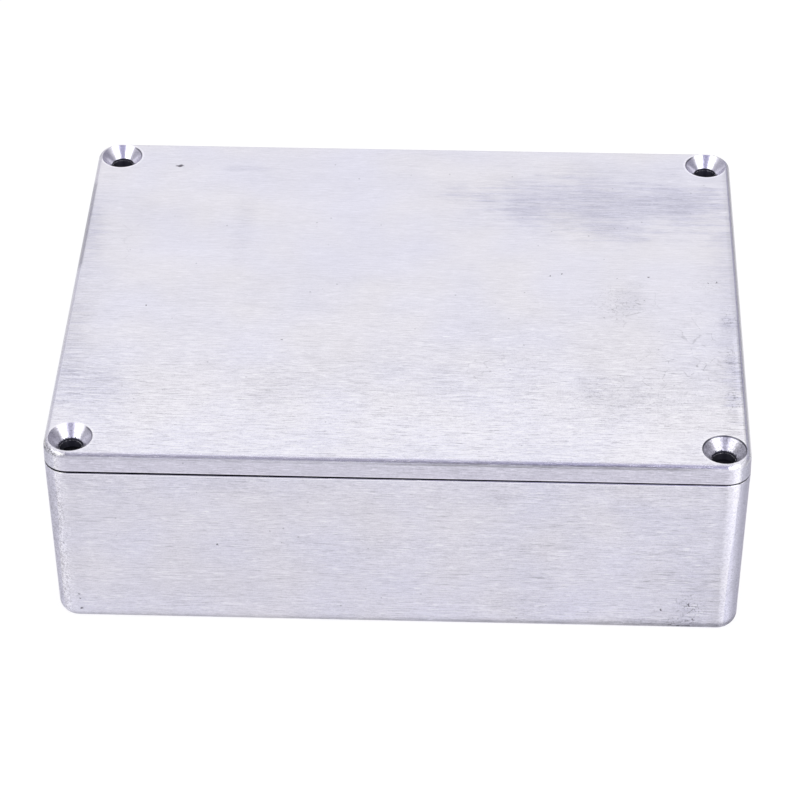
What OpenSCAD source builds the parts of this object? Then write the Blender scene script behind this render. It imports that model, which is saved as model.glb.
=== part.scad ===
// Two-piece die-cast aluminium case for a guitar effect pedal.
// An open box with drafted walls and four screw posts, and a lid whose ridge drops inside its rim.
// The origin is the middle of the underside, +X runs along the long side, and +Z points up to the lid.

/* [Overall size] */
// Length of the closed case at the joint, left to right
case_l = 119.5; // [100:0.5:150]
// Width of the closed case at the joint, front to back
case_w = 94; // [76:0.5:120]
// Height of the closed case, from the table to the top of the lid
case_h = 38; // [28:0.5:60]

/* [Outer form] */
// Radius of the upright corners at the joint, seen from above
corner_r = 4.2; // [3.6:0.1:5]
// Draft of the outer walls, in degrees
outer_draft = 0.9; // [0.5:0.1:2]
// Radius of the edge round the underside
base_edge_r = 2.6; // [1:0.1:3]
// Radius of the edge round the top of the lid
lid_edge_r = 1.1; // [0.6:0.1:1.6]
// Chamfer that breaks the two sharp edges at the joint
edge_break = 0.15; // [0.05:0.05:0.3]

/* [Box casting] */
// Wall thickness at the joint
wall_t = 2.2; // [1.8:0.1:2.5]
// Thickness of the floor
floor_t = 2.3; // [1.8:0.1:4]
// Draft of the inner walls, the posts and the ridge, in degrees
inner_draft = 1.2; // [0.5:0.1:2]
// Radius between the floor and the inner walls
floor_fillet_r = 2; // [1:0.1:4]
// Radius of each post at its top
post_r = 4.2; // [3.4:0.1:6]
// Radius of the upright fillets between the posts and the walls
post_fillet_r = 1.2; // [0.8:0.1:1.6]
// Radius of the seat on top of each post, which carries the lid
seat_r = 3.4; // [2.6:0.1:3.8]

/* [Lid casting] */
// Height of the lid's side, from the joint to its top face
lid_side_h = 4; // [3.4:0.1:6]
// Thickness of the lid's plate over its hollow
lid_plate_t = 2.2; // [1.6:0.1:2.8]
// Radius between the plate and the walls of the hollow
hollow_fillet_r = 0.8; // [0.3:0.1:1]
// How far the locating ridge reaches down into the box
ridge_h = 1.5; // [0.8:0.1:3]
// Thickness of the locating ridge at its tip
ridge_t = 1.4; // [1:0.1:1.8]
// Radius on the outer edge of the ridge's tip
ridge_tip_r = 0.5; // [0.2:0.1:0.7]
// Clearance between the ridge and the box's inner walls and posts
ridge_clearance = 0.3; // [0.15:0.05:0.6]
// Gap round the joint, because the lid seats on the posts alone
seam_gap = 0.2; // [0.1:0.05:0.4]

/* [Lid screws] */
// Distance from each screw's axis to the two outer faces beside it, at the joint
screw_inset = 4.6; // [4.4:0.1:5.5]
// Diameter of the hole drilled in each post, ready for its thread
tap_drill_d = 2.9; // [2.5:0.1:3.3]
// Depth of that hole, without the drill's point
tap_depth = 16; // [8:0.5:20]
// Angle of the drill's point, in degrees
drill_point_angle = 118; // [90:1:140]
// Diameter of the through hole in the lid
screw_hole_d = 4.1; // [3.6:0.1:4.6]
// Diameter of the countersink at the lid's top face
sink_d = 7.6; // [6.4:0.1:8]
// Angle of the countersink, in degrees
sink_angle = 82; // [75:1:100]

/* [Hidden] */

// How far a cut runs past the face that it opens
past = 1;
// How deep a flat starts inside the round that it leaves, so that the two cross cleanly
bite = 0.005;
// Underside of the lid, which is also the top of the post seats
joint_z = case_h - lid_side_h;
// Top of the box's wall
rim_z = joint_z - seam_gap;
// Half sizes of the box's opening, taken at the joint
mouth_l = case_l / 2 - wall_t;
mouth_w = case_w / 2 - wall_t;
// Half sizes of the ridge's outside, where it leaves the lid
ridge_l = mouth_l - ridge_clearance;
ridge_w = mouth_w - ridge_clearance;
// How far the ridge draws in over its height
ridge_lean = ridge_h * tan(inner_draft);
// Depth of the lid's hollow, from the ridge's tip up to the plate
hollow_depth = ridge_h + lid_side_h - lid_plate_t;
// Half spacing of the four screws
screw_x = case_l / 2 - screw_inset;
screw_y = case_w / 2 - screw_inset;
// Depth of the countersink's cone
sink_depth = (sink_d - screw_hole_d) / 2 / tan(sink_angle / 2);
// Length of the drill's point
drill_point_h = tap_drill_d / 2 / tan(drill_point_angle / 2);

$fn = 96;

// Where the rounded bottom corner of a drafted section starts, measured from the section's middle
function rounding_x(half, depth, draft, r) = half - (depth - r) * tan(draft) - r / cos(draft);

// Outline of the drafted side, from the rounded bottom corner up to the open top
function side_points(half, depth, draft, r) = [
    [rounding_x(half, depth, draft, r), 0],
    [rounding_x(half, depth, draft, r) + (r - bite) * cos(draft), r - (r - bite) * sin(draft)],
    [half, depth]
];

// Trough section that is 2 * half wide at its top, draws in downwards and has rounded bottom corners
module trough_section(half, depth, draft, r) {
    side = side_points(half, depth, draft, r);
    polygon(concat(side, [for (i = [2 : -1 : 0]) [-side[i][0], side[i][1]]]));
    for (s = [-1, 1])
        translate([s * rounding_x(half, depth, draft, r), r])
            circle(r);
}

// Section of a casting's rounded border, from the line of the corner centres out to the drafted face
module border_section(depth, r) {
    intersection() {
        union() {
            difference() {
                polygon(concat([[0, 0]], side_points(corner_r, depth, outer_draft, r), [[0, depth]]));
                translate([corner_r, depth])
                    rotate(45)
                        square(edge_break * sqrt(2), center = true);
            }
            translate([rounding_x(corner_r, depth, outer_draft, r), r])
                circle(r);
        }
        square([corner_r + past, depth + past]);
    }
}

// A section drawn in XZ and run along Y, centred
module run_along_y(length) {
    rotate([90, 0, 0])
        linear_extrude(length, center = true)
            children();
}

// Outer shape of a casting, closed end down: a plain middle, with one border section
// run along its four sides and turned round its four corners
module outer_block(depth, edge_r) {
    straight_l = case_l - 2 * corner_r;
    straight_w = case_w - 2 * corner_r;
    translate([-straight_l / 2, -straight_w / 2, 0])
        cube([straight_l, straight_w, depth]);
    for (side = [0, 180])
        rotate([0, 0, side]) {
            translate([straight_l / 2, 0, 0])
                run_along_y(straight_w)
                    border_section(depth, edge_r);
            rotate([0, 0, 90])
                translate([straight_w / 2, 0, 0])
                    run_along_y(straight_l)
                        border_section(depth, edge_r);
        }
    each_quarter()
        translate([straight_l / 2, straight_w / 2, 0])
            rotate_extrude(angle = 90)
                border_section(depth, edge_r);
}

// Repeats a shape drawn in the +X +Y quarter in all four quarters
module each_quarter() {
    for (mx = [0, 1], my = [0, 1])
        mirror([mx, 0, 0])
            mirror([0, my, 0])
                children();
}

// Corner of a mould core that leaves a post: a cone round the screw, run out square to both walls
module post_cut(depth, open_r) {
    low_r = open_r + (depth + past) * tan(inner_draft);
    high_r = open_r - past * tan(inner_draft);
    translate([screw_x, screw_y, 0]) {
        translate([0, 0, -past])
            cylinder(h = depth + 2 * past, r1 = low_r, r2 = high_r);
        post_web(low_r - bite, high_r - bite, depth);
        mirror([1, -1, 0])
            post_web(low_r - bite, high_r - bite, depth);
    }
}

// Half of the square run-out of a post, its drafted face flush with the cone
module post_web(low_r, high_r, depth) {
    reach = screw_inset + past;
    translate([0, reach / 2, 0])
        run_along_y(reach)
            polygon([
                [-low_r, -past],
                [reach, -past],
                [reach, depth + past],
                [-high_r, depth + past]
            ]);
}

// Rounds the upright edge of a core where a post meets the wall, given where that edge tops out
module upright_rounding(edge, depth, r) {
    length = depth + 2 * past;
    translate([edge[0] - r + bite, edge[1] - r + bite, depth])
        rotate([-inner_draft, inner_draft, 0])
            translate([0, 0, -depth - past])
                difference() {
                    cube([2 * r, 2 * r, length]);
                    translate([0, 0, -past])
                        cylinder(h = length + 2 * past, r = r);
                }
}

// Mould core of a pocket, closed end down and running past its mouth: drafted on all sides,
// with room left for the four posts. The radii of the posts are given at the mouth.
module core(half_l, half_w, depth, floor_r, open_r, upright_r = 0) {
    flare = past * tan(inner_draft);
    difference() {
        intersection() {
            run_along_y(2 * half_w + 2 * past)
                trough_section(half_l + flare, depth + past, inner_draft, floor_r);
            rotate([0, 0, 90])
                run_along_y(2 * half_l + 2 * past)
                    trough_section(half_w + flare, depth + past, inner_draft, floor_r);
        }
        each_quarter() {
            post_cut(depth, open_r);
            if (upright_r > 0) {
                upright_rounding([screw_x - open_r, half_w], depth, upright_r);
                upright_rounding([half_l, screw_y - open_r], depth, upright_r);
            }
        }
    }
}

// Repeats a shape drawn on the Z axis at the four screws, at the given height
module at_screws(height) {
    each_quarter()
        translate([screw_x, screw_y, height])
            children();
}

// Blind hole for the thread, turned in one with its drill point, its mouth at z = 0
module tapped_hole() {
    hole_r = tap_drill_d / 2;
    rotate_extrude()
        polygon([
            [0, -tap_depth - drill_point_h],
            [hole_r, -tap_depth],
            [hole_r, past],
            [0, past]
        ]);
}

// Through hole and countersink, its mouth at z = 0
module countersunk_hole() {
    hole_r = screw_hole_d / 2;
    rotate_extrude()
        polygon([
            [0, -lid_side_h - past],
            [hole_r, -lid_side_h - past],
            [hole_r, -sink_depth],
            [sink_d / 2 + past * tan(sink_angle / 2), past],
            [0, past]
        ]);
}

module box() {
    color([0.80, 0.80, 0.84])
        difference() {
            union() {
                difference() {
                    outer_block(rim_z, base_edge_r);
                    translate([0, 0, floor_t])
                        core(
                            mouth_l, mouth_w, joint_z - floor_t,
                            floor_fillet_r, post_r, post_fillet_r
                        );
                }
                at_screws(rim_z - past)
                    cylinder(h = seam_gap + past, r = seat_r);
            }
            at_screws(joint_z)
                tapped_hole();
        }
}

module lid() {
    color([0.86, 0.86, 0.90])
        difference() {
            union() {
                translate([0, 0, case_h])
                    mirror([0, 0, 1])
                        outer_block(lid_side_h, lid_edge_r);
                translate([0, 0, joint_z - ridge_h])
                    core(
                        ridge_l, ridge_w, ridge_h, ridge_tip_r,
                        post_r + ridge_clearance, post_fillet_r - ridge_clearance
                    );
            }
            translate([0, 0, case_h - lid_plate_t])
                mirror([0, 0, 1])
                    core(
                        ridge_l - ridge_lean - ridge_t,
                        ridge_w - ridge_lean - ridge_t,
                        hollow_depth, hollow_fillet_r,
                        post_r + ridge_clearance + ridge_lean + ridge_t
                    );
            at_screws(case_h)
                countersunk_hole();
        }
}

box();
lid();
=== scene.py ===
# %% [markdown]
# # A bare die-cast pedal case
# The real object is an empty case for a guitar effect: a box and a lid, each cast in aluminium, linished
# along its length and left without paint. The solids come ready from the CAD frame, so this lesson is about
# what is left: the camera, the studio, the metal with its brushing, handling marks and turned countersinks,
# the ragged throats that a countersinking tool leaves, and the threads in the posts. Every length is written
# in millimetres and multiplied by mm, because Blender counts in metres here.

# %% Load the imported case
import bisect
import math
import random

import bmesh
import bpy
from mathutils import Matrix, Vector


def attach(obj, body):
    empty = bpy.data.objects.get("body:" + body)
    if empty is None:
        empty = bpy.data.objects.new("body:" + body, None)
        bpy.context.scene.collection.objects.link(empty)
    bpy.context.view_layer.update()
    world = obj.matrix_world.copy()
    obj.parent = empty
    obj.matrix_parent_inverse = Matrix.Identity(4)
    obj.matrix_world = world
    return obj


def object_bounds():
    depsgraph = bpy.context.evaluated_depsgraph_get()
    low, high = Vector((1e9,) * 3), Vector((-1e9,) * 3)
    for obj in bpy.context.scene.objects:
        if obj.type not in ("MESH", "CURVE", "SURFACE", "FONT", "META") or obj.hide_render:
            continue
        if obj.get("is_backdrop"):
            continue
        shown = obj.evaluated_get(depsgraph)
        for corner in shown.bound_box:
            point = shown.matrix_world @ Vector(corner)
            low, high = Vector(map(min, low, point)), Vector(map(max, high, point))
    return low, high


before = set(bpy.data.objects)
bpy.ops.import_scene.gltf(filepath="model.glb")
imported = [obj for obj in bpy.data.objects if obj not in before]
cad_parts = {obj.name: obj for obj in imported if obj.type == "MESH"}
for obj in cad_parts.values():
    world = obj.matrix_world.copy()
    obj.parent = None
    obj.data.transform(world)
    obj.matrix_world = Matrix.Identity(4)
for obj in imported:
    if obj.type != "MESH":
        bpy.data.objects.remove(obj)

cad_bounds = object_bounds()
mm = 0.001
low, high = (corner / mm for corner in cad_bounds)
print("case from", [round(v, 1) for v in low], "to", [round(v, 1) for v in high], "mm")

# %% [markdown]
# ## The camera
# The photo looks down on the case from the front, with the long side a little turned. A camera could be placed by
# eye and nudged. Here its place, angles and focal length were worked out beforehand from the outline of the case
# and the four screw holes.

# %% Place the camera
def turn(axis, degrees):
    """A turn about one axis."""
    return Matrix.Rotation(math.radians(degrees), 3, axis)


camera_place = Vector((17.05, -461.54, 377.65)) * mm
camera_turn = turn("Z", 2.243) @ turn("X", 51.771) @ turn("Z", -0.275)
lens = bpy.data.cameras.new("photo_lens")
lens.sensor_width = 36
lens.lens = 144.27
lens.clip_start = 0.01
lens.clip_end = 50
lens.dof.use_dof = False
camera = bpy.data.objects.new("photo_camera", lens)
camera.matrix_world = Matrix.Translation(camera_place) @ camera_turn.to_4x4()
bpy.context.collection.objects.link(camera)
bpy.context.scene.camera = camera
bpy.context.scene.view_settings.view_transform = "Standard"
print("camera", round(camera_place.length, 3), "m from the middle of the underside")

# %% [markdown]
# ## Building materials from nodes
# A procedural material is a web of small nodes. Typing every node and link out would bury the idea of the
# finish, so a few helpers do it: one adds any node and fills its sockets, the next do arithmetic on numbers
# and on vectors, and one turns a range of values into another range with soft ends.

# %% Node helpers
def put(tree, kind, sockets=None, **settings):
    """Adds a node, sets its options, and fills or links its sockets."""
    node = tree.nodes.new("ShaderNode" + kind)
    for option, value in settings.items():
        setattr(node, option, value)
    for name, value in (sockets or {}).items():
        if isinstance(value, bpy.types.NodeSocket):
            tree.links.new(value, node.inputs[name])
        else:
            node.inputs[name].default_value = value
    return node


def calc(tree, operation, *terms, clamp=False):
    """Arithmetic on numbers."""
    return put(tree, "Math", dict(enumerate(terms)), operation=operation, use_clamp=clamp).outputs[0]


def vector_calc(tree, operation, *terms):
    """Arithmetic on points, directions or colours."""
    return put(tree, "VectorMath", dict(enumerate(terms)), operation=operation).outputs[0]


def scaled(tree, vector, factor):
    """A point or a colour times a number."""
    return put(tree, "VectorMath", {0: vector, "Scale": factor}, operation="SCALE").outputs[0]


def length(tree, vector):
    """How long a vector is."""
    return put(tree, "VectorMath", {0: vector}, operation="LENGTH").outputs["Value"]


def remap(tree, value, start, end, low_end=0.0, high_end=1.0):
    """Runs smoothly from low_end to high_end while the value runs from start to end."""
    sockets = {"Value": value, "From Min": start, "From Max": end, "To Min": low_end, "To Max": high_end}
    return put(tree, "MapRange", sockets, interpolation_type="SMOOTHSTEP").outputs["Result"]


def mix_colours(tree, share, first, second, how="MIX"):
    """Mixes two colours, sockets or plain values."""
    sockets = {"Factor": share, 6: first, 7: second}
    return put(tree, "Mix", sockets, data_type="RGBA", blend_type=how).outputs[2]


def new_tree(name):
    """An empty material and its node tree."""
    material = bpy.data.materials.new(name)
    material.use_nodes = True
    material.node_tree.nodes.clear()
    return material, material.node_tree


# %% [markdown]
# ## The table and its backdrop
# The case was photographed on white, lit so that the table burns out round it. A table that is only very
# white would need too much light on the metal. So the camera sees the table brighter than it is, through the
# Light Path node, and the part of its colour that receives shadow stays in. Metal sees it too, as a lit table
# with the case's own shadow on it. Past each front corner the metal also sees painted shade on the table,
# stronger further out, which is what makes the rounded corners darken towards the outline.

# %% The white table
corner_axis_x, corner_axis_y = 54.6, 41.8
plain_paper, metal_paper, metal_glow, camera_paper, camera_glow = 0.8, 0.52, 0.3, 0.2, 0.84


def grey(value):
    """An even grey."""
    return (value, value, value, 1)


def table_seen_by(tree, paper_colour, glow_strength):
    """Paper that takes light and shadow, plus an even glow."""
    paper = put(tree, "BsdfDiffuse", {"Color": paper_colour})
    glow = put(tree, "Emission", {"Color": grey(1), "Strength": glow_strength})
    return put(tree, "AddShader", {0: paper.outputs[0], 1: glow.outputs[0]}).outputs[0]


def painted_shade_beside_case(tree, x, y, side, start, end):
    """Painted shade on the table past one front corner: 1 there. Angles are counted at that corner, from the
    front, in degrees.
    """
    across = calc(tree, "MULTIPLY_ADD", x, side, -corner_axis_x)
    towards_front = calc(tree, "MULTIPLY_ADD", y, -1, -corner_axis_y)
    angle = calc(tree, "ARCTAN2", across, towards_front)
    return remap(tree, angle, math.radians(start), math.radians(end))


def white_table_material():
    """Paper that the camera, the metal and all other rays see each in its own way."""
    material, tree = new_tree("white_table")
    point = scaled(tree, put(tree, "TexCoord").outputs["Object"], 1 / mm)
    x, y, _ = put(tree, "SeparateXYZ", {0: point}).outputs
    # Painted shade on the table, seen only by the metal: less paper and glow past each front corner, and less
    # still further out.
    beside_left = calc(tree, "MULTIPLY", painted_shade_beside_case(tree, x, y, -1, 58, 74), 0.4)
    beside = calc(tree, "MAXIMUM", painted_shade_beside_case(tree, x, y, 1, 44, 60), beside_left)
    far = calc(tree, "MULTIPLY", beside, remap(tree, length(tree, point), 250, 500))
    paper_in_metal = calc(tree, "MULTIPLY_ADD", beside, -0.08, metal_paper)
    paper_in_metal = calc(tree, "MULTIPLY_ADD", far, -0.26, paper_in_metal)
    glow_in_metal = calc(tree, "MULTIPLY_ADD", beside, -0.04, metal_glow)
    glow_in_metal = calc(tree, "MULTIPLY_ADD", far, -0.13, glow_in_metal)
    path = put(tree, "LightPath").outputs
    mirrored = calc(tree, "MAXIMUM", path["Is Glossy Ray"], path["Is Transmission Ray"])
    paper = put(tree, "BsdfDiffuse", {"Color": grey(plain_paper)}).outputs[0]
    in_metal = table_seen_by(tree, paper_in_metal, glow_in_metal)
    in_camera = table_seen_by(tree, grey(camera_paper), camera_glow)
    shown = put(tree, "MixShader", {0: mirrored, 1: paper, 2: in_metal}).outputs[0]
    shown = put(tree, "MixShader", {0: path["Is Camera Ray"], 1: shown, 2: in_camera}).outputs[0]
    put(tree, "OutputMaterial", {"Surface": shown})
    return material


table_half = 2500 * mm
shape = bmesh.new()
bmesh.ops.create_grid(shape, x_segments=1, y_segments=1, size=table_half)
table_mesh = bpy.data.meshes.new("table")
shape.to_mesh(table_mesh)
shape.free()
table = bpy.data.objects.new("table", table_mesh)
table_mesh.materials.append(white_table_material())
bpy.context.collection.objects.link(table)
table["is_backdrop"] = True
print("table", 2 * table_half, "m wide")

# %% [markdown]
# ## The studio
# Bare metal shows its surroundings more than itself. The countersinks give the studio away: each shows two
# white bands with a dull lavender one between them. Their edges, traced back from all four holes, lead to two
# large softboxes, one at each side of the camera, that reach down almost to the table. So there are two
# softboxes, a pale backdrop and ceiling, dim room at both sides, and dim room round the camera. The world's
# own colours carry the room, and the direction that each ray leaves in picks the colour.

# %% Two softboxes
def softbox(name, azimuth, distance, bottom, top, width, brightness):
    """An upright rectangular lamp that faces the case. Azimuth runs from the front to the right, in degrees."""
    lamp = bpy.data.lights.new(name, "AREA")
    lamp.shape = "RECTANGLE"
    lamp.size = width
    lamp.size_y = top - bottom
    lamp.energy = brightness * math.pi * width * lamp.size_y
    around = math.radians(azimuth)
    away = Vector((math.sin(around), -math.cos(around), 0))
    holder = bpy.data.objects.new(name, lamp)
    middle = away * distance + Vector((0, 0, (bottom + top) / 2))
    holder.matrix_world = Matrix.Translation(middle) @ away.to_track_quat("Z", "Y").to_matrix().to_4x4()
    bpy.context.collection.objects.link(holder)


softbox("softbox_left", azimuth=-47, distance=1.08, bottom=0.4, top=1.35, width=0.93, brightness=2.0)
softbox("softbox_right", azimuth=44, distance=1.11, bottom=0.1, top=1.35, width=1.0, brightness=2.4)
print("two softboxes")

# %% The room
wall_below, wall_above = (0.80, 0.79, 0.84, 1), (1.02, 1.01, 1.05, 1)
dim_slices = [
    (118, 45, (0.32, 0.31, 0.38, 1)), (-142, 20, (0.63, 0.62, 0.69, 1)), (-103, 26, (0.46, 0.45, 0.52, 1)),
]
near_camera = [(3, 35, 6, 50, (0.39, 0.375, 0.57, 1)), (0, -6, 10, 10, (0.80, 0.79, 0.83, 1))]
slice_softness = 6


def within_angle(tree, direction, towards, wide, soft):
    """1 where a direction lies within so many degrees of another, fading to 0 outside."""
    likeness = put(tree, "VectorMath", {0: direction, 1: towards}, operation="DOT_PRODUCT").outputs["Value"]
    return remap(tree, likeness, math.cos(math.radians(wide + soft)), math.cos(math.radians(wide)))


def direction_patch(tree, direction, azimuth, elevation, wide, soft):
    """1 inside a cone round one direction. Angles are in degrees."""
    around, up = math.radians(azimuth), math.radians(elevation)
    towards = (math.sin(around) * math.cos(up), -math.cos(around) * math.cos(up), math.sin(up))
    return within_angle(tree, direction, towards, wide, soft)


def side_of_room(tree, direction, height, azimuth, wide):
    """1 in an upright slice of the room, up to 40 degrees high, with soft ends."""
    around = math.radians(azimuth)
    level = vector_calc(tree, "NORMALIZE", vector_calc(tree, "MULTIPLY", direction, (1, 1, 0)))
    slice_mask = within_angle(tree, level, (math.sin(around), -math.cos(around), 0), wide, slice_softness)
    return calc(tree, "MULTIPLY", slice_mask, remap(tree, height, 0.5, 0.64, 1.0, 0.0))


def studio_room():
    """Gives every direction of the world its colour."""
    world = bpy.data.worlds.new("studio_room")
    bpy.context.scene.world = world
    world.use_nodes = True
    tree = world.node_tree
    tree.nodes.clear()
    direction = put(tree, "TexCoord").outputs["Generated"]
    height = put(tree, "SeparateXYZ", {0: direction}).outputs["Z"]
    room = mix_colours(tree, remap(tree, height, 0.0, 0.55), wall_below, wall_above)
    for azimuth, wide, colour in dim_slices:
        room = mix_colours(tree, side_of_room(tree, direction, height, azimuth, wide), room, colour)
    for azimuth, elevation, wide, soft, colour in near_camera:
        room = mix_colours(tree, direction_patch(tree, direction, azimuth, elevation, wide, soft), room, colour)
    path = put(tree, "LightPath")
    room = mix_colours(tree, path.outputs["Is Camera Ray"], room, (1, 1, 1, 1))
    light = put(tree, "Background", {"Color": room, "Strength": 1.0})
    put(tree, "OutputWorld", {"Surface": light.outputs[0]})


studio_room()
print("room lit")

# %% [markdown]
# ## Where on the metal
# Both castings are pieces of the same stock, so one recipe dresses them, and the place on the case decides
# what shows. The recipe needs the point in millimetres, the way the surface faces, and the distance from the
# nearest screw hole. UV unwrapping could give places too, but the faces are few and flat, so plain
# coordinates and the surface normal are enough, and a mark keeps its real size on every face.

# %% Places
screw_x, screw_y = 55.15, 42.4
hole_r, sink_r, sink_depth = 2.05, 3.8, 2.01
lid_top, joint_z, rim_z = 38.0, 34.0, 33.8
throat_z = lid_top - sink_depth


def places(tree):
    """The sockets that every finish on the case is worked out from."""
    coords = put(tree, "TexCoord").outputs
    point = scaled(tree, coords["Object"], 1 / mm)
    x, y, z = put(tree, "SeparateXYZ", {0: point}).outputs
    facing_x, facing_y, _ = put(tree, "SeparateXYZ", {0: vector_calc(tree, "ABSOLUTE", coords["Normal"])}).outputs
    up = put(tree, "SeparateXYZ", {0: coords["Normal"]}).outputs[2]
    to_x = calc(tree, "SUBTRACT", calc(tree, "ABSOLUTE", x), screw_x)
    to_y = calc(tree, "SUBTRACT", calc(tree, "ABSOLUTE", y), screw_y)
    from_axis = put(tree, "CombineXYZ", {0: to_x, 1: to_y}).outputs[0]
    back_or_front = calc(tree, "MULTIPLY", calc(tree, "SIGN", y), 8.0)
    return {
        "point": point, "x": x, "y": y, "z": z, "normal": coords["Normal"], "up": up,
        "facing_x": facing_x, "facing_y": facing_y, "end_face": remap(tree, facing_x, 0.66, 0.74),
        "to_x": to_x, "to_y": to_y, "radius": length(tree, from_axis),
        "way_round": vector_calc(tree, "NORMALIZE", from_axis),
        "hole_number": calc(tree, "MULTIPLY_ADD", calc(tree, "SIGN", x), 3.0, back_or_front),
        "on_lid": put(tree, "CombineXYZ", {0: x, 1: y}).outputs[0], "lid_face": remap(tree, up, 0.8, 0.95),
        "on_front": put(tree, "CombineXYZ", {0: x, 1: z}).outputs[0], "front_part": remap(tree, y, -20, -30),
        "front_right": both(tree, remap(tree, x, 0, 20), opposite(tree, remap(tree, y, -20, 0))),
    }


def both(tree, *masks):
    """Where every one of the masks holds."""
    result = masks[0]
    for mask in masks[1:]:
        result = calc(tree, "MULTIPLY", result, mask)
    return result


def opposite(tree, mask):
    """Where a mask does not hold."""
    return calc(tree, "SUBTRACT", 1.0, mask)


def between(tree, value, start, end, soft):
    """1 while the value lies between start and end, with soft ends outside them."""
    return both(tree, remap(tree, value, start - soft, start), remap(tree, value, end, end + soft, 1.0, 0.0))


def centred_noise(tree, vector, detail=2.0, roughness=0.6):
    """Noise that runs up and down round 0."""
    sockets = {"Vector": vector, "Scale": 1.0, "Detail": detail, "Roughness": roughness}
    return calc(tree, "SUBTRACT", put(tree, "TexNoise", sockets).outputs["Fac"], 0.5)


def plain_noise(tree, at, size, detail=2.0, shift=(0, 0, 0)):
    """Noise of one size in every direction. The size is in millimetres."""
    return centred_noise(tree, vector_calc(tree, "MULTIPLY_ADD", at["point"], (1 / size,) * 3, shift), detail)


def round_the_hole(tree, at, rings, rays):
    """Noise that follows a hole: fine across its radius, fine round it, or both. Centred on 0."""
    outwards = calc(tree, "MULTIPLY_ADD", at["radius"], rings, at["hole_number"])
    shift = put(tree, "CombineXYZ", {2: outwards}).outputs[0]
    return centred_noise(tree, vector_calc(tree, "MULTIPLY_ADD", at["way_round"], (rays, rays, 0), shift))


# %% [markdown]
# ## The parts of the surface
# A real casting of this kind has five skins. Its flat faces are linished on a belt. Its rounded corners only
# brush the belt, so they keep the fine orange-peel of the casting. The countersinks are turned, smooth and shiny.
# The holes look nearly black from outside, so their walls are painted dark as shade, and on the two front ones
# that painted shade reaches up in small notches where chips are out of their upper edge. The inside is left as
# cast. Each mask is 1 on its own skin. Three more say how the surface lies: level, upright, or rounded over
# between the two, which is the ridge.

# %% Masks
inner_x, inner_y, floor_z = 58.3, 45.5, 1.6


def inside_mask(tree, at):
    """1 on the pocket, the posts, the locating ridge and the lid's underside."""
    in_x = calc(tree, "LESS_THAN", calc(tree, "ABSOLUTE", at["x"]), inner_x)
    in_y = calc(tree, "LESS_THAN", calc(tree, "ABSOLUTE", at["y"]), inner_y)
    not_corner = calc(tree, "LESS_THAN", calc(tree, "MINIMUM", at["to_x"], at["to_y"]), 0.0)
    pocket = both(tree, in_x, in_y, not_corner, between(tree, at["z"], floor_z, rim_z - 0.3, 0.1))
    faces_down = remap(tree, at["up"], -0.6, -0.3, 1.0, 0.0)
    return calc(tree, "MAXIMUM", pocket, both(tree, faces_down, calc(tree, "GREATER_THAN", at["z"], 20.0)))


def skins(tree, at):
    """The masks, by name."""
    in_countersink = opposite(tree, remap(tree, at["radius"], sink_r - 0.02, sink_r + 0.02))
    turned = both(tree, in_countersink, opposite(tree, remap(tree, at["up"], 0.85, 0.95)),
                  remap(tree, at["z"], joint_z + 1.8, joint_z + 2))
    # The chips carry the painted hole shade up in notches on the front holes.
    chips = both(tree, remap(tree, round_the_hole(tree, at, 0.0, 4.5), -0.04, 0.08, 0.0, 0.12),
                 calc(tree, "LESS_THAN", at["y"], 0.0))
    chipped_radius = calc(tree, "SUBTRACT", at["radius"], chips)
    bore = both(tree, opposite(tree, remap(tree, chipped_radius, hole_r + 0.02, hole_r + 0.07)),
                remap(tree, at["z"], joint_z - 18, joint_z - 17))
    corner = remap(tree, calc(tree, "MINIMUM", at["facing_x"], at["facing_y"]), 0.12, 0.5)
    ridge = both(tree, remap(tree, at["up"], 0.12, 0.3), opposite(tree, remap(tree, at["up"], 0.93, 0.995)),
                 opposite(tree, turned), opposite(tree, corner))
    level = remap(tree, at["up"], 0.97, 0.999)
    upright = remap(tree, at["up"], 0.1, 0.4, 1.0, 0.0)
    return {"turned": turned, "bore": bore, "corner": corner, "ridge": ridge, "level": level, "upright": upright,
            "inside": inside_mask(tree, at)}


# %% [markdown]
# ## The linished grain
# A linishing belt leaves thousands of short, nearly parallel scratches, a few tenths of a millimetre apart
# and one to several millimetres long. Stretched noise draws them: a noise texture whose coordinates are
# squeezed across the belt and drawn out along it. The belt runs along the case, except on the two short
# sides. One noise alone looks like wood or silk, so fine scratches, long ones, a little round grain, and
# separate dark and bright dashes are added up.

# %% Belt marks
def by_face(tree, at, on_long_faces, on_end_faces):
    """A vector that is one value on the long faces and another on the end faces."""
    sockets = {"Factor": at["end_face"], 4: on_long_faces, 5: on_end_faces}
    return put(tree, "Mix", sockets, data_type="VECTOR").outputs[1]


def stretched_noise(tree, at, along, across, detail=2.0, roughness=0.6, shift=(0, 0, 0)):
    """Noise drawn out along the belt's direction. The two lengths are in millimetres."""
    squeeze = by_face(tree, at, (1 / along, 1 / across, 1 / across), (1 / across, 1 / along, 1 / across))
    return centred_noise(tree, vector_calc(tree, "MULTIPLY_ADD", at["point"], squeeze, shift), detail, roughness)


def dashes(tree, at, along, across, shift):
    """Sparse separate scratches: only the highest crests of the noise."""
    noise = stretched_noise(tree, at, along, across, detail=1.0, roughness=0.5, shift=shift)
    return remap(tree, noise, 0.09, 0.2)


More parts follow.
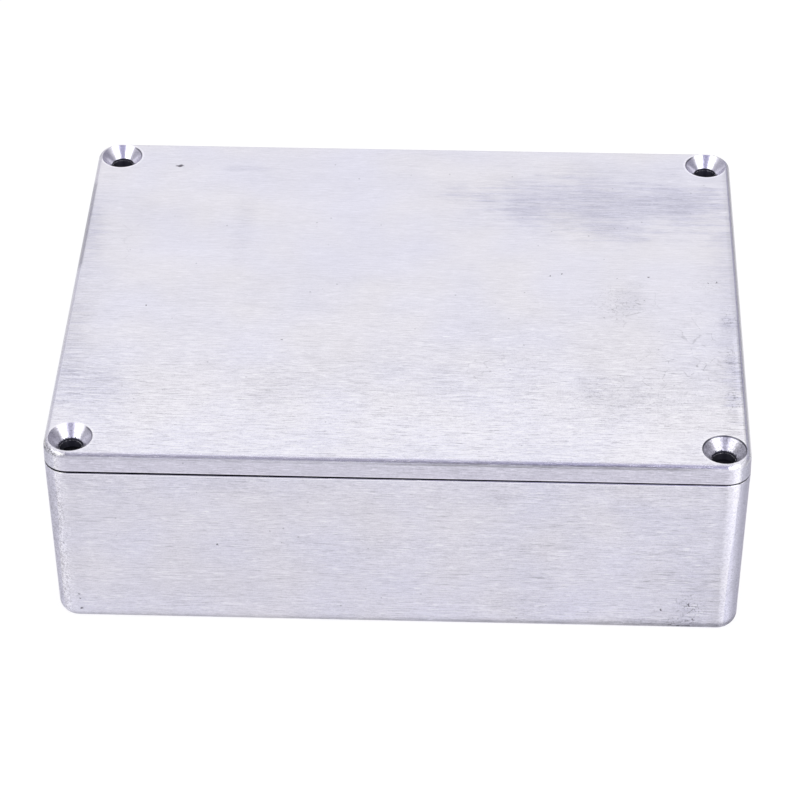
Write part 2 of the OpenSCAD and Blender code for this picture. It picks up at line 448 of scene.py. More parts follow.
def belt_marks(tree, at):
    """Fine scratches with separate darker and brighter ones among them, centred on 0."""
    fine = stretched_noise(tree, at, along=0.9, across=0.1, detail=3.0, roughness=0.75)
    long = stretched_noise(tree, at, along=5.0, across=0.13, detail=1.0, shift=(1.9, 6.4, 2.8))
    marks = calc(tree, "MULTIPLY_ADD", long, 0.5, calc(tree, "MULTIPLY", fine, 0.6))
    marks = calc(tree, "MULTIPLY_ADD", plain_noise(tree, at, 0.22, detail=1.0, shift=(3, 3, 7)), 0.32, marks)
    marks = calc(tree, "MULTIPLY_ADD", dashes(tree, at, 2.6, 0.1, (7.3, 2.1, 4.4)), -0.26, marks)
    return calc(tree, "MULTIPLY_ADD", dashes(tree, at, 2.0, 0.1, (4.7, 9.9, 0.6)), 0.32, marks)


# %% [markdown]
# ## Soft differences
# No casting is one even grey. The belt presses harder here and there, the alloy has warm and cool clouds, and
# fingers leave dull smudges. Large soft noise gives the clouds. The smudges are placed one by one, as on this
# case: a dull band behind the right-hand screw, streaks at the left, and the thumb marks near the front edge. The
# long ovals along the lid's two rounded ends are painted shade, where those ends reflect dim room. Each is an
# oval, given as its middle, its half lengths and how dark it is, and noise makes its border ragged.

# %% Clouds
def clouds(tree, at):
    """Slow changes of tone, centred on 0."""
    wide = plain_noise(tree, at, 22, shift=(3.1, 8.2, 1.7))
    streaky = stretched_noise(tree, at, along=26, across=5, shift=(1.2, 5.8, 9.1))
    return calc(tree, "MULTIPLY_ADD", streaky, 0.8, wide)


# %% Smudges and painted edge shade
# The entries near x = ±59 are painted shade along the lid's rounded ends; the rest are smudge marks.
lid_smudges_and_edge_shade = [
    (36, 29, 31, 14, 0.16), (50, 30, 12, 8, 0.06), (21, 31, 8, 10, 0.06), (36, 30, 10, 7, 0.04),
    (40, 21, 9, 5, 0.05), (9, 31, 9, 4, 0.05), (-30.5, 20, 3, 16, 0.05), (-31, 39, 7, 1.6, 0.08),
    (-22, -28, 9, 8, 0.06), (-53, -28, 9, 8, 0.09), (7, -26, 4, 7, 0.05), (38, -28, 8, 7, 0.06),
    (40, 0, 4, 6, 0.07), (-59, 19, 5, 12, 0.10), (-59.5, -2, 7, 45, 0.07), (-58, -16, 4, 20, 0.05),
    (59.5, 0, 7, 46, 0.10), (59, -24, 6, 12, 0.09), (57.6, -7, 2.5, 2.5, 0.12), (57.6, -19, 2.2, 4, 0.10),
    (57.2, -29, 2.2, 4, 0.10), (33, -26, 5, 5, 0.05),
]
front_smudges = [
    (39, 29, 5, 4, 0.06), (18, 30, 5, 3, 0.05), (-28, 32, 9, 2.5, 0.07), (21, 6, 6, 4, 0.07),
    (53, 8, 7, 10, 0.07), (49, 18, 12, 24, 0.05), (-57, 20, 6, 18, 0.06), (45, 2, 20, 2, 0.07),
    (0, 1.5, 40, 1.5, 0.05), (20, 36.2, 40, 2, 0.03), (-50, 31, 16, 4, 0.06),
]


def oval(tree, flat, across, along, half_across, half_along):
    """The distance from an oval's middle, counted so that it is 1 on the oval."""
    size = (1 / half_across, 1 / half_along, 0)
    shift = (-across / half_across, -along / half_along, 0)
    return length(tree, vector_calc(tree, "MULTIPLY_ADD", flat, size, shift))


def smudge_sum(tree, flat, marks, broken):
    """Adds up soft ragged ovals."""
    total = 0.0
    for *where, depth in marks:
        ragged = calc(tree, "MULTIPLY_ADD", broken, 0.9, oval(tree, flat, *where))
        total = calc(tree, "ADD", remap(tree, ragged, 0.15, 1.05, depth, 0.0), total)
    return total


def smudges_and_edge_shade(tree, at):
    """How much darker the smudge marks and the painted shade on the lid's ends make the metal. Fine streaks along
    the belt break them up.
    """
    streaky = stretched_noise(tree, at, 12, 0.9, detail=3.0, shift=(4, 4, 4))
    broken = calc(tree, "MULTIPLY_ADD", streaky, 1.3, plain_noise(tree, at, 6))
    front_face = both(tree, opposite(tree, remap(tree, at["up"], 0.3, 0.6)), at["front_part"])
    on_top = both(tree, smudge_sum(tree, at["on_lid"], lid_smudges_and_edge_shade, broken), at["lid_face"])
    on_front = both(tree, smudge_sum(tree, at["on_front"], front_smudges, broken), front_face)
    lines = stretched_noise(tree, at, 7, 0.3, detail=2.0, shift=(6, 1, 6))
    streaks = calc(tree, "MULTIPLY_ADD", lines, 2.0, 0.9)
    return calc(tree, "MULTIPLY", calc(tree, "ADD", on_top, on_front), streaks)


# %% [markdown]
# ## Small damage
# A few pits and specks sit where they sit on this case, and sparse casting pores are scattered over the rest.
# Fine wandering scuffs come from what the case was rubbed against: the borders between the cells of a Voronoi
# texture make thin lines, bent by noise and kept to a few patches.

# %% Pits
lid_pits = [
    (-43.9, 39.4, 0.9, 0.5), (-45.9, -4.9, 0.2, 0.22), (-21.1, -14.2, 0.3, 0.22), (25.8, 6.2, 0.18, 0.2),
    (28.0, 6.8, 0.2, 0.22), (43.5, 6.4, 0.22, 0.28), (55.7, 5.1, 0.2, 0.24), (54.2, 4.9, 0.15, 0.2),
]
front_pits = [
    (-30.6, 18.4, 0.28, 0.28), (-55.2, 6.2, 0.26, 0.22), (-55.1, 5.2, 0.22, 0.2), (-55.0, 2.9, 0.34, 0.3),
    (50.6, 6.6, 0.25, 0.5), (45.8, 5.4, 0.2, 0.5), (51.6, 3.1, 0.4, 0.25), (48.9, 1.5, 0.4, 0.2),
]
pore_cells, pore_share = 0.42, 0.35


def pit_mask(tree, at, flat, marks):
    """1 in each pit, given as middle and half lengths. Fine noise makes their outlines ragged."""
    wander_x = plain_noise(tree, at, 0.5, detail=3)
    wander_y = plain_noise(tree, at, 0.45, detail=3, shift=(3, 3, 3))
    wander = put(tree, "CombineXYZ", {0: wander_x, 1: wander_y}).outputs[0]
    ragged = vector_calc(tree, "MULTIPLY_ADD", wander, (1.1, 1.1, 0), flat)
    total = 0.0
    for where in marks:
        total = calc(tree, "MAXIMUM", remap(tree, oval(tree, ragged, *where), 0.45, 0.95, 1.0, 0.0), total)
    return total


def pits(tree, at):
    """1 in the placed pits, and a share of that in the scattered pores."""
    on_top = both(tree, pit_mask(tree, at, at["on_lid"], lid_pits), at["lid_face"])
    on_front = both(tree, pit_mask(tree, at, at["on_front"], front_pits), at["front_part"])
    sockets = {"Vector": at["point"], "Scale": pore_cells, "Randomness": 1.0}
    cells = put(tree, "TexVoronoi", sockets).outputs
    few = put(tree, "SeparateColor", {0: cells["Color"]}).outputs[0]
    pores = both(tree, remap(tree, cells["Distance"], 0.055, 0.085, 1.0, 0.0), remap(tree, few, 0.72, 0.76))
    return calc(tree, "MULTIPLY_ADD", pores, pore_share, calc(tree, "MAXIMUM", on_top, on_front))


# %% Scuffs
lid_scuffs = [
    (40, -1, 9, 8, 0.8), (40, -4, 5, 7, 1.0), (45, -22, 12, 10, 1.0), (52, -15, 7, 18, 1.0),
    (15, -22, 6, 8, 1.0), (-52, 12, 6, 22, 0.35),
]
lid_fine_scuffs = [
    (38, -2, 6, 7, 0.45), (57.6, -6, 2.4, 6, 0.6), (57.6, -18, 2.2, 6, 0.6), (57, -29, 2.6, 5, 0.7),
    (45, -30, 9, 4, 0.35), (34, -27, 7, 6, 0.3), (54, 4, 5, 3, 0.3), (22, -20, 9, 9, 0.2), (26, -30, 14, 5, 0.2),
]
front_scuffs = [(50.8, 6, 3.6, 4.5, 0.9), (49.5, 2, 5, 2.5, 0.8)]


def wandering_lines(tree, at, cell, thin, bend):
    """Thin closed lines round cells of one size, bent by noise. The size is in millimetres."""
    bent = calc(tree, "MULTIPLY", plain_noise(tree, at, cell, detail=4, shift=(9, 2, 5)), bend)
    every_way = put(tree, "CombineXYZ", {0: bent, 1: bent, 2: bent}).outputs[0]
    sockets = {"Vector": vector_calc(tree, "ADD", at["point"], every_way), "Scale": 1 / cell, "Randomness": 1.0}
    border = put(tree, "TexVoronoi", sockets, feature="DISTANCE_TO_EDGE").outputs["Distance"]
    line = remap(tree, border, thin * 0.3, thin, 1.0, 0.0)
    gaps = remap(tree, plain_noise(tree, at, cell / 2, shift=(2, 7, 3)), -0.02, 0.06)
    return both(tree, line, gaps)


def scuffs(tree, at):
    """Long faint lines and short dense ones, each in its own patches."""
    broken = plain_noise(tree, at, 3, shift=(8, 8, 1))
    lid_where = both(tree, smudge_sum(tree, at["on_lid"], lid_scuffs, broken), at["lid_face"])
    lid_fine_where = both(tree, smudge_sum(tree, at["on_lid"], lid_fine_scuffs, broken), at["lid_face"])
    front_where = both(tree, smudge_sum(tree, at["on_front"], front_scuffs, broken), at["front_part"])
    fine_where = calc(tree, "MAXIMUM", front_where, lid_fine_where)
    wide = both(tree, wandering_lines(tree, at, 4.2, 0.03, 1.5), lid_where)
    narrow = both(tree, wandering_lines(tree, at, 1.1, 0.09, 1.2), fine_where)
    return calc(tree, "MULTIPLY_ADD", narrow, 5.0, calc(tree, "MULTIPLY", wide, 1.8))


# %% [markdown]
# ## The cast skin of the corners
# Where the belt hardly reached, the metal keeps a fine pebbled skin that glitters. Small grains in colour and
# in bump give that sparkle; a smooth corner would look like plastic. The left corners have the coarser skin.

# %% Speckle
def speckle(tree, at):
    """Grains of two sizes, centred on 0, coarser and stronger at the left."""
    fine = plain_noise(tree, at, 0.2, detail=1.0)
    coarse = plain_noise(tree, at, 0.7, detail=2.0, shift=(5, 1, 8))
    both_sizes = calc(tree, "MULTIPLY_ADD", coarse, remap(tree, at["x"], -20, 20, 0.85, 0.15), fine)
    return calc(tree, "MULTIPLY", both_sizes, remap(tree, at["x"], -20, 20, 1.5, 0.8))


# %% [markdown]
# ## Tangent across the belt
# Anisotropy spreads reflections across the grooves, which needs a tangent that lies across the direction of
# the grooves: the cross product of that direction and the normal. In the countersinks the tool went round, so
# there the grooves follow the circle instead of the belt.

# %% Groove directions
def across_grooves(tree, at, skin):
    """The direction on the surface that lies across its grooves."""
    belt = by_face(tree, at, (1, 0, 0), (0, 1, 0))
    round_hole = vector_calc(tree, "CROSS_PRODUCT", (0, 0, 1), at["normal"])
    along = put(tree, "Mix", {"Factor": skin["turned"], 4: belt, 5: round_hole}, data_type="VECTOR").outputs[1]
    return vector_calc(tree, "NORMALIZE", vector_calc(tree, "CROSS_PRODUCT", along, at["normal"]))


# %% [markdown]
# ## Painted shade past the corner highlights
# On an upright corner the metal is painted darker past a crisp line. This is painted shade: it ends the corner
# highlight where the real corner reflects the dimmer table beside the case. The line runs a little aslant, so the
# strip changes its width from the foot to the top, and it is another one at the left corners than at the right
# ones.

# %% Painted shade strips
def painted_corner_shade(tree, at, skin):
    """How much painted shade darkens the outer part of an upright corner."""
    uneven = calc(tree, "MULTIPLY", plain_noise(tree, at, 1.2, detail=3.0, shift=(4, 8, 2)), 0.12)
    lines = {2: remap(tree, at["z"], 10, 28, 0.68, 0.50), 3: remap(tree, at["z"], 8, 36, 0.34, 0.56)}
    line = put(tree, "Mix", {"Factor": calc(tree, "GREATER_THAN", at["x"], 0.0), **lines}, data_type="FLOAT")
    past = calc(tree, "SUBTRACT", calc(tree, "ADD", at["facing_x"], uneven), line.outputs[0])
    shade_strip = both(tree, remap(tree, past, -0.03, 0.03), remap(tree, at["facing_y"], 0.05, 0.5), skin["upright"])
    return calc(tree, "MULTIPLY", shade_strip, remap(tree, at["x"], -20, 20, 0.14, 0.19))


# %% [markdown]
# ## Edges
# Most lines along the edges are painted light: painted highlights where a rounded edge or the joint would catch a
# softbox, and painted shade where an edge would reflect dim room or the shaded table at the foot. The bright ring
# round each countersink is partly a burnished rim and partly a painted highlight, and hardly two edges of this
# case are alike. Each line along an edge is a mask and an amount, which it adds to the brightness. Slow noise
# moves the borders of the lines, because a dead straight border looks drawn.

# %% Edges of the lid
def lid_lines(tree, at, skin, wander):
    """Lines on the lid, as masks and amounts: mostly painted highlights and painted shade along its rounded
    edges.
    """
    not_upright = opposite(tree, skin["upright"])
    out_x = calc(tree, "MULTIPLY_ADD", wander, 0.9, at["x"])
    height = calc(tree, "MULTIPLY_ADD", wander, 0.2, at["z"])
    along = calc(tree, "MULTIPLY_ADD", wander, 6.0, at["y"])
    # Painted reflections on the lid's right end: a darker strip, a bright lip, a darker shoulder and a bright
    # ridge.
    right_end_painted_shade = both(tree, remap(tree, out_x, 57.9, 58.5), skin["level"], remap(tree, at["y"], -15, 5))
    right_end_painted_highlight = both(tree, between(tree, out_x, 58.1, 58.5, 0.4), skin["level"], remap(tree, at["y"], 0, -15))
    right_shoulder_painted_shade = both(tree, between(tree, at["x"], 58.6, 58.95, 0.1), remap(tree, at["y"], 0, -15), not_upright)
    right_ridge_painted_highlight = both(tree, remap(tree, at["x"], 58.9, 59.2), skin["ridge"])
    # A bright ring round each countersink: partly a burnished rim, partly a painted highlight.
    ring = both(tree, between(tree, at["radius"], sink_r + 0.03, sink_r + 0.3, 0.12), skin["level"])
    # Painted shade in a band just under the lid's rounded front edge.
    painted_shade_under_front_edge = both(tree, between(tree, height, 36.95, 37.45, 0.2), remap(tree, at["x"], -5, 12, 0.38, 1.0),
                      remap(tree, at["x"], 47, 55, 1.0, 0.0), remap(tree, at["up"], 0.7, 0.8, 1.0, 0.0))
    # A painted highlight along the lid's rounded left end, with a dark length in it.
    left_ridge_painted_highlight = both(tree, remap(tree, at["x"], -58.6, -58.9), opposite(tree, skin["level"]), not_upright,
                      opposite(tree, skin["corner"]))
    dark_length = both(tree, between(tree, along, 8, 32, 3), left_ridge_painted_highlight)
    return [(right_end_painted_shade, -0.08), (right_end_painted_highlight, 0.08), (right_shoulder_painted_shade, -0.16), (right_ridge_painted_highlight, 0.30), (ring, 0.12),
            (painted_shade_under_front_edge, -0.36), (left_ridge_painted_highlight, 0.12), (dark_length, -0.30)]


# %% Edges at the foot and the joint
def box_lines(tree, at, skin, wander):
    """Painted shade and painted light at the foot of the box and a painted highlight along both edges of the
    joint, as masks and amounts.
    """
    height = calc(tree, "MULTIPLY_ADD", wander, 0.2, at["z"])
    above_foot = calc(tree, "SUBTRACT", height, remap(tree, at["x"], -20, 50, 0.0, 0.9))
    outside = both(tree, remap(tree, at["up"], -0.98, -0.85), opposite(tree, skin["inside"]))
    # Painted shade along the foot, with painted light at its very bottom.
    painted_foot_shade = both(tree, remap(tree, above_foot, 0.8, 2.4, 1.0, 0.0), remap(tree, height, 0.7, 1.2), outside)
    painted_foot_light = both(tree, remap(tree, height, 0.8, 1.3, 1.0, 0.0), remap(tree, at["x"], -60, 50, 0.2, 1.0), outside)
    rim_lip = between(tree, at["z"], rim_z - 0.32, rim_z - 0.06, 0.05)
    lid_lip = between(tree, at["z"], joint_z + 0.06, joint_z + 0.3, 0.05)
    # A painted highlight on both edges of the joint.
    joint_lips_painted_highlight = both(tree, calc(tree, "MAXIMUM", rim_lip, lid_lip), skin["upright"], opposite(tree, skin["corner"]))
    return [(painted_foot_shade, -0.36), (painted_foot_light, 0.3), (joint_lips_painted_highlight, 0.22)]


# %% The front right corner
def corner_lines(tree, at, skin):
    """Painted shade on the top of the front right corner, and a painted highlight down its length with painted
    shade just before it, as masks and amounts.
    """
    right_corner = both(tree, skin["corner"], at["front_right"])
    corner_top_painted_shade = both(tree, right_corner, between(tree, at["up"], 0.25, 0.88, 0.12),
                      remap(tree, at["facing_x"], 0.5, 0.35))
    corner_painted_highlight = both(tree, right_corner, remap(tree, at["z"], 8, 32, 0.5, 1.0),
                       between(tree, at["facing_x"], 0.23, 0.46, 0.08), skin["upright"])
    shade_before_highlight = both(tree, remap(tree, at["to_x"], -1.5, 0.5), at["front_right"],
                       between(tree, at["facing_x"], 0.0, 0.11, 0.05), skin["upright"])
    return [(corner_top_painted_shade, -0.6), (corner_painted_highlight, 0.10), (shade_before_highlight, -0.07)]


def edge_wear_and_painted_light(tree, at, skin):
    """What all the lines together add to the brightness."""
    wander = plain_noise(tree, at, 1.6, detail=3, shift=(1, 9, 4))
    total = 0.0
    for mask, amount in (lid_lines(tree, at, skin, wander) + box_lines(tree, at, skin, wander)
                         + corner_lines(tree, at, skin)):
        total = calc(tree, "MULTIPLY_ADD", mask, amount, total)
    return total


# %% [markdown]
# ## Tone
# The tone is a number near 1 that every mark adds to or takes from. The belt marks show most near the front edge
# and on dull metal, where the softboxes don't wash them out. The corners sparkle, but not in their painted shade
# strips. The level faces near the front edge get a little painted light, and the rounded left corners of the lid
# painted shade.

# %% Tone
def mark_strength(tree, at, skin, dull_and_shade):
    """How much the belt marks show."""
    front = remap(tree, at["y"], 15, -36)
    right = remap(tree, at["x"], -30, 30, 0.46, 0.62)
    strength = calc(tree, "MULTIPLY_ADD", dull_and_shade, 1.6, calc(tree, "MULTIPLY_ADD", front, right, 0.28))
    near_edge = both(tree, skin["level"], remap(tree, at["y"], -12, -38))
    return calc(tree, "MULTIPLY_ADD", near_edge, 0.55, strength)


def tone(tree, at, skin, marks, grain, dull_and_shade, shade_strip):
    """How bright the metal is, near 1, from all the marks, with painted light and shade."""
    value = calc(tree, "MULTIPLY_ADD", marks, mark_strength(tree, at, skin, dull_and_shade), 1.0)
    value = calc(tree, "MULTIPLY_ADD", clouds(tree, at), 0.10, value)
    value = calc(tree, "SUBTRACT", value, dull_and_shade)
    value = calc(tree, "MULTIPLY_ADD", scuffs(tree, at), -0.10, value)
    # Painted light: the level faces near the front edge are painted a little brighter.
    painted_front_light = both(tree, remap(tree, at["y"], -22, -40), skin["level"])
    value = calc(tree, "MULTIPLY_ADD", painted_front_light, 0.06, value)
    sparkle = both(tree, grain, skin["corner"], calc(tree, "MULTIPLY_ADD", shade_strip, -3.5, 1.0))
    value = calc(tree, "MULTIPLY_ADD", sparkle, 0.9, value)
    value = calc(tree, "SUBTRACT", value, shade_strip)
    # Painted shade with grain on the rounded left corners of the lid, which dims the softbox reflection there.
    past_hole = calc(tree, "MINIMUM", remap(tree, at["to_x"], -0.6, 1), remap(tree, at["to_y"], -0.6, 1))
    left_corner_shade_and_grain = both(tree, past_hole, between(tree, at["up"], 0.25, 0.85, 0.15),
                       calc(tree, "LESS_THAN", at["x"], 0.0))
    value = calc(tree, "MULTIPLY_ADD", left_corner_shade_and_grain, calc(tree, "MULTIPLY_ADD", grain, 0.5, -0.18), value)
    return calc(tree, "ADD", value, edge_wear_and_painted_light(tree, at, skin))


# %% [markdown]
# ## Colour
# Bare aluminium is nearly neutral, and small shifts make it look like metal: warm and cool clouds, a cooler grey
# where it is dull and in the painted shade of the corners and the lid's ends, a painted lavender reflection on
# the lid's right end, a dimmer side on the lid. The tone scales that colour. Dirt in the pits, the cast inside,
# the turned countersinks, a dark outline on parts of their edges and the painted shade in the holes are laid over
# it one after another.

# %% Colours
cool_cloud, warm_cloud, dull_tint = (0.985, 0.99, 1.02, 1), (1.01, 1.005, 0.985, 1), (0.97, 0.975, 1.06, 1)
lid_side_tint, front_ridge_tint = (0.885, 0.875, 0.915, 1), (0.94, 0.94, 0.86, 1)
cast_grey, turned_grey = (0.56, 0.56, 0.59), (0.80, 0.79, 0.85)
# The hole colour is painted shade; the joint colour is grime with painted shade.
pit_dirt, sink_outline, painted_hole_shade, joint_grime_and_shade_colour = (
    (0.09, 0.08, 0.10, 1), (0.12, 0.12, 0.14, 1), (0.10, 0.10, 0.13, 1), (0.03, 0.03, 0.035, 1))


# %% Linished metal
def tinted_alloy(tree, at, skin, dull_and_shade, alloy):
    """The alloy's colour with its clouds and tints."""
    warm = remap(tree, plain_noise(tree, at, 16, detail=1.0, shift=(6, 3, 2)), -0.25, 0.25)
    tint = mix_colours(tree, warm, cool_cloud, warm_cloud)
    # A painted lavender reflection on the lid's rounded right end.
    right_ridge_painted_reflection = calc(tree, "MULTIPLY", both(tree, skin["ridge"], remap(tree, at["x"], 58.4, 58.8)), 0.25)
    cool = calc(tree, "MAXIMUM", dull_and_shade, right_ridge_painted_reflection)
    tint = mix_colours(tree, remap(tree, cool, 0.0, 0.25), tint, dull_tint)
    lid_side = both(tree, skin["upright"], opposite(tree, skin["corner"]),
                    remap(tree, at["z"], joint_z, joint_z + 0.1))
    tint = mix_colours(tree, lid_side, tint, lid_side_tint)
    front_ridge = both(tree, skin["ridge"], between(tree, at["up"], 0.5, 0.7, 0.15),
                       remap(tree, at["y"], -40, -44), remap(tree, at["x"], 45, -5))
    tint = mix_colours(tree, front_ridge, tint, front_ridge_tint)
    return mix_colours(tree, 1.0, alloy, tint, how="MULTIPLY")


# %% Countersinks
def hole_wear(tree, at):
    """How torn the turned metal is: least in the back holes, most in the front right one."""
    return remap(tree, at["y"], 10, -10, 0.15, remap(tree, at["x"], -10, 10, 0.8, 1.2))


def turned_metal(tree, at):
    """The colour of the countersinks: fine rings, and darker blotches where the metal is torn."""
    wear = hole_wear(tree, at)
    torn = calc(tree, "MULTIPLY", plain_noise(tree, at, 0.3, detail=2.0, shift=(2, 2, 8)), wear)
    worn = calc(tree, "MULTIPLY_ADD", wear, -0.3, 1.05)
    turning = calc(tree, "MULTIPLY_ADD", round_the_hole(tree, at, 8.0, 4.0), 0.45, worn)
    return scaled(tree, turned_grey, calc(tree, "MULTIPLY_ADD", torn, 1.1, turning))


def dark_outline(tree, at, skin):
    """1 just inside the edge of a countersink, towards the middle of the lid and round the front right hole."""
    towards_middle = calc(tree, "MULTIPLY", remap(tree, at["to_x"], -1.8, -3.0), 0.7)
    front_right = both(tree, remap(tree, at["to_y"], 2.6, -0.5), calc(tree, "GREATER_THAN", at["x"], 0.0),
                       calc(tree, "LESS_THAN", at["y"], 0.0))
    return both(tree, between(tree, at["radius"], sink_r - 0.16, sink_r, 0.08), skin["turned"],
                calc(tree, "MAXIMUM", towards_middle, front_right))


# %% Colour
def alloy_colour(tree, at, skin, marks, grain, alloy):
    """The metal's colour with marks, dirt and painted shade in the holes."""
    dull_and_shade = smudges_and_edge_shade(tree, at)
    shade_strip = painted_corner_shade(tree, at, skin)
    colour = tinted_alloy(tree, at, skin, calc(tree, "MAXIMUM", dull_and_shade, shade_strip), alloy)
    colour = scaled(tree, colour, tone(tree, at, skin, marks, grain, dull_and_shade, shade_strip))
    dirt = calc(tree, "MULTIPLY", pits(tree, at), 0.9, clamp=True)
    colour = mix_colours(tree, dirt, colour, pit_dirt)
    cast_tone = calc(tree, "MULTIPLY_ADD", grain, 0.4, 0.95)
    cast_tone = calc(tree, "MULTIPLY_ADD", plain_noise(tree, at, 4, detail=5), 0.5, cast_tone)
    colour = mix_colours(tree, skin["inside"], colour, scaled(tree, cast_grey, cast_tone))
    colour = mix_colours(tree, skin["turned"], colour, turned_metal(tree, at))
    colour = mix_colours(tree, dark_outline(tree, at, skin), colour, sink_outline)
    # Painted shade: the holes are painted dark, as they look from outside.
    return mix_colours(tree, skin["bore"], colour, painted_hole_shade)


# %% [markdown]
# ## The joint
# Box and lid don't touch at the outside: a gap of 0.2 mm runs round the case. Light still gets into it, so both
# facing surfaces are painted dark, grime and painted shade together, to make it the dark line that it is on the
# real case.

# %% Joint
def joint_grime_and_shade(tree, at):
    """1 on the facing surfaces of box and lid. It gets thinner and paler to the right."""
    middle = (rim_z + joint_z) / 2 + 0.05
    from_middle = calc(tree, "ABSOLUTE", calc(tree, "SUBTRACT", at["z"], middle))
    past_half = calc(tree, "SUBTRACT", from_middle, remap(tree, at["x"], -55, 15, 0.22, 0.19))
    return both(tree, remap(tree, past_half, 0.0, 0.03, 1.0, 0.0), remap(tree, at["x"], 5, 35, 1.0, 0.85))


# %% [markdown]
# ## The metal
# Now the skins come together in one Principled metal. Roughness and bump follow the same marks as the tone,
# so a scratch that looks darker also shines differently. The shader's plain numbers, such as how metallic it
# is, sit on its own sockets.

# %% The finish
groove_depth = 0.012


def roughness(tree, at, skin, marks):
    """Rougher in dark scratches, on the corners and inside, smoother on the ridge and in the countersinks."""
    rough = calc(tree, "MULTIPLY_ADD", marks, -0.25, 0.42)
    rough = calc(tree, "MULTIPLY_ADD", skin["corner"], 0.1, rough)
    turned_rough = calc(tree, "MULTIPLY_ADD", hole_wear(tree, at), 0.13, 0.2)
    for name, value in (("ridge", 0.26), ("inside", 0.55), ("turned", turned_rough), ("bore", 0.5)):
        rough = put(tree, "Mix", {"Factor": skin[name], 2: rough, 3: value}, data_type="FLOAT").outputs[0]
    return rough


def relief(tree, at, skin, marks, grain):
    """The height of the surface for the bump, in shares of the groove depth."""
    cast_skin = calc(tree, "MAXIMUM", skin["corner"], skin["inside"])
    height = calc(tree, "MULTIPLY_ADD", both(tree, grain, cast_skin), 2.0, marks)
    torn = calc(tree, "MULTIPLY", plain_noise(tree, at, 0.2, detail=2.0), hole_wear(tree, at))
    torn = calc(tree, "MULTIPLY", torn, 1.2)
    turning = calc(tree, "MULTIPLY_ADD", round_the_hole(tree, at, 12.0, 2.0), 0.35, torn)
    return put(tree, "Mix", {"Factor": skin["turned"], 2: height, 3: turning}, data_type="FLOAT").outputs[0]


def case_metal(name, alloy):
    """The whole recipe, for one casting."""
    material, tree = new_tree(name)
    at = places(tree)
    skin = skins(tree, at)
    marks, grain = belt_marks(tree, at), speckle(tree, at)
    colour = alloy_colour(tree, at, skin, marks, grain, alloy)
    # Grime and painted shade in the joint.
    colour = mix_colours(tree, joint_grime_and_shade(tree, at), colour, joint_grime_and_shade_colour)
    height = relief(tree, at, skin, marks, grain)
    bump = put(tree, "Bump", {"Height": height, "Strength": 1.0, "Distance": groove_depth * mm})
    stretch = calc(tree, "MULTIPLY", opposite(tree, skin["turned"]), 0.75)
    metal = put(tree, "BsdfPrincipled", {
        "Base Color": colour, "Metallic": 1.0, "Roughness": roughness(tree, at, skin, marks),
        "Anisotropic": calc(tree, "MULTIPLY", stretch, opposite(tree, skin["inside"])),
        "Tangent": across_grooves(tree, at, skin), "Normal": bump.outputs[0],
    })
    put(tree, "OutputMaterial", {"Surface": metal.outputs[0]})
    return material


alloys = {"box": (0.82, 0.81, 0.855, 1), "lid": (0.835, 0.83, 0.865, 1)}
for node, alloy in alloys.items():
    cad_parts[node].material_slots[0].material = case_metal(node + "_linished", alloy)
print("metal on", ", ".join(alloys))

# %% [markdown]
# ## Ragged throats
# A countersinking tool tears the edge of the hole below it and pushes some metal over the hole. From above, a
# thin scalloped line then shows inside the dark hole. This is a shape and not a stain, so it is a thin ring
# of metal: a circle on the wall of the hole, extruded inwards to a torn edge, and given a thickness. Random
# scallops set how far the edge leans over the hole, and the seed keeps them the same each time. The back
# holes are nearly clean.

# %% Burr rings
hole_corners = {"front_left": (-1, -1), "front_right": (1, -1), "back_left": (-1, 1), "back_right": (1, 1)}
burr_points, burr_thickness, burr_foot = 168, 0.05, 0.4
random.seed(35)


def scallops(reach):
    """Ends and depths of random scallops that go once round the hole."""
    ends, depths = [0.0], []
    while ends[-1] < 2 * math.pi:
        ends.append(ends[-1] + random.uniform(0.14, 0.32))
        depths.append(reach * random.uniform(0.1, 1.0))
    return [end * 2 * math.pi / ends[-1] for end in ends], depths


def move_ring(verts, radius, height):
    """Puts a ring's points on a circle. The radius and the height are functions of the angle."""
    for vert in verts:
        angle = math.atan2(vert.co.y, vert.co.x) % (2 * math.pi)
        vert.co = Vector((radius(angle) * math.cos(angle), radius(angle) * math.sin(angle), height(angle)))


def burr_ring(reach):
    """A thin torn ring, from the wall of the hole inwards."""
    ends, depths = scallops(reach)

    def lean(angle):
        """How far the edge stands over the hole at an angle."""
        number = min(bisect.bisect_right(ends, angle), len(depths)) - 1
        share = (angle - ends[number]) / (ends[number + 1] - ends[number])
        return 0.03 + depths[number] * max(math.sin(math.pi * share), 0.0) ** 0.6

    shape = bmesh.new()
    outer = bmesh.ops.create_circle(shape, segments=burr_points, radius=1)["verts"]
    move_ring(outer, lambda angle: hole_r + 0.02, lambda angle: throat_z - burr_foot)
    inner = bmesh.ops.extrude_edge_only(shape, edges=shape.edges[:])["geom"]
    inner_verts = [v for v in inner if isinstance(v, bmesh.types.BMVert)]
    move_ring(inner_verts, lambda angle: hole_r - lean(angle), lambda angle: throat_z - 0.38 + 0.35 * lean(angle))
    bmesh.ops.recalc_face_normals(shape, faces=shape.faces)
    bmesh.ops.solidify(shape, geom=shape.faces[:], thickness=burr_thickness)
    bmesh.ops.recalc_face_normals(shape, faces=shape.faces)
    return shape


# %% [markdown]
# ## Threads in the posts
# The lid's screws cut into the four posts, so each tapped hole carries a thread. A profile of three points,
# spun round the hole while it sinks by one pitch a turn, gives the ridge in one operator call.

# %% Thread ridges
tap_r, thread_pitch, thread_depth = 1.45, 0.6, 0.16
thread_turns, steps_per_turn = 20, 36


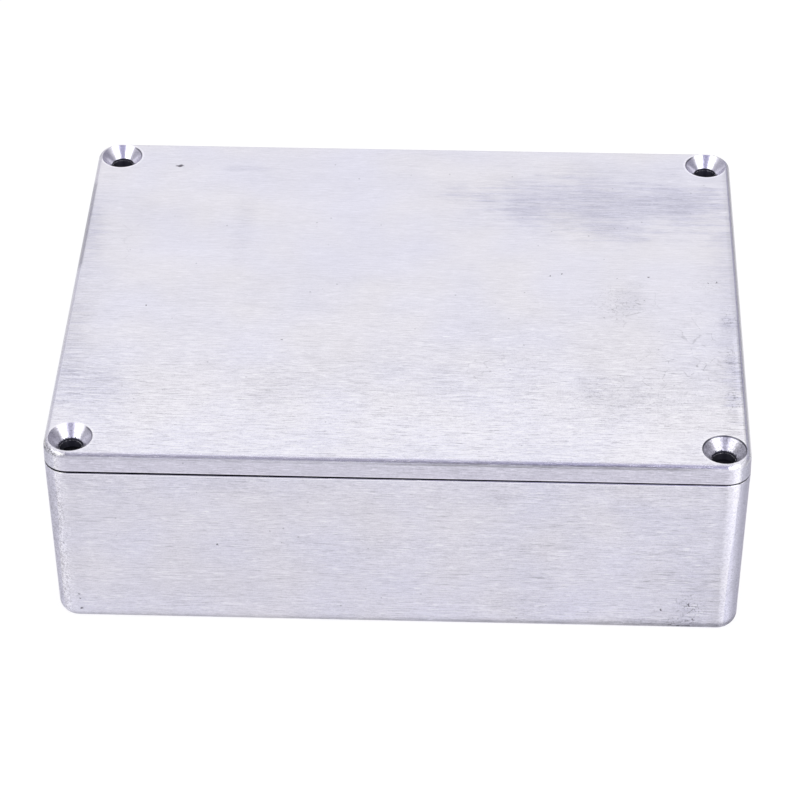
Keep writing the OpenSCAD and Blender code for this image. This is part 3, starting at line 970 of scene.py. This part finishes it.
def thread_ridge():
    """The ridge between the grooves of the thread, from the top of the post down."""
    shape = bmesh.new()
    half = thread_pitch / 2
    top = joint_z - 0.5
    corners = [(tap_r + 0.03, top + half * 0.8), (tap_r - thread_depth, top), (tap_r + 0.03, top - half * 0.8)]
    profile = [shape.verts.new((radius, 0, height)) for radius, height in corners]
    edges = [shape.edges.new((profile[i], profile[(i + 1) % 3])) for i in range(3)]
    bmesh.ops.spin(shape, geom=profile + edges, axis=(0, 0, 1), cent=(0, 0, 0),
                   angle=-2 * math.pi * thread_turns, steps=thread_turns * steps_per_turn,
                   dvec=(0, 0, -thread_pitch / steps_per_turn))
    bmesh.ops.holes_fill(shape, edges=[e for e in shape.edges if e.is_boundary], sides=3)
    bmesh.ops.recalc_face_normals(shape, faces=shape.faces)
    return shape


# %% [markdown]
# ## On the case
# The burrs and the threads get a duller metal than the skin of the case, because torn and cut metal scatters
# light. Each piece is moved to its hole, scaled to metres and tied to the one body that the case has.

# %% Place them
burr_reaches = {-1: 0.3, 1: 0.06}


def finish_piece(name, shape, place, material):
    """Turns a bmesh in millimetres into a piece on the case, with its place in its mesh."""
    bmesh.ops.translate(shape, verts=shape.verts, vec=place)
    bmesh.ops.scale(shape, verts=shape.verts, vec=(mm, mm, mm))
    mesh = bpy.data.meshes.new(name)
    shape.to_mesh(mesh)
    shape.free()
    mesh.shade_smooth()
    mesh.materials.append(material)
    piece = bpy.data.objects.new(name, mesh)
    bpy.context.collection.objects.link(piece)
    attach(piece, "root")
    return len(mesh.polygons)


def torn_metal(name, colour, rough_middle, dark_below, bright_above):
    """Metal whose grain is dark below one level and bright above another."""
    material, tree = new_tree(name)
    place = put(tree, "TexCoord").outputs["Object"]
    grain = put(tree, "TexNoise", {"Vector": place, "Scale": 6000, "Detail": 3.0}).outputs["Fac"]
    toned = scaled(tree, colour, remap(tree, grain, dark_below, bright_above, 0.12, 1.1))
    rough = remap(tree, grain, 0.3, 0.7, rough_middle - 0.08, rough_middle + 0.08)
    bump = put(tree, "Bump", {"Height": grain, "Strength": 0.6, "Distance": 0.01 * mm}).outputs[0]
    sockets = {"Base Color": toned, "Metallic": 1.0, "Roughness": rough, "Normal": bump}
    put(tree, "OutputMaterial", {"Surface": put(tree, "BsdfPrincipled", sockets).outputs[0]})
    return material


burr_metal = torn_metal("burr_metal", (0.80, 0.79, 0.84), 0.35, 0.48, 0.62)
thread_metal = torn_metal("thread_metal", (0.42, 0.41, 0.46), 0.45, 0.1, 0.6)
for corner, (side_x, side_y) in hole_corners.items():
    axis = Vector((side_x * screw_x, side_y * screw_y, 0))
    burr = burr_ring(burr_reaches[side_y])
    burr_faces = finish_piece("burr_" + corner, burr, axis, burr_metal)
    thread_faces = finish_piece("thread_" + corner, thread_ridge(), axis, thread_metal)
    print(corner, "burr", burr_faces, "faces, thread", thread_faces, "faces")

# %% [markdown]
# ## Last checks
# The looks must not grow the object, so the box round everything is measured again and kept beside the first
# one.

# %% Sizes and finish
seen_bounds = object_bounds()
growth = max(abs(a - b) for c, d in zip(cad_bounds, seen_bounds) for a, b in zip(c, d))
print("grown by", growth / mm, "mm")
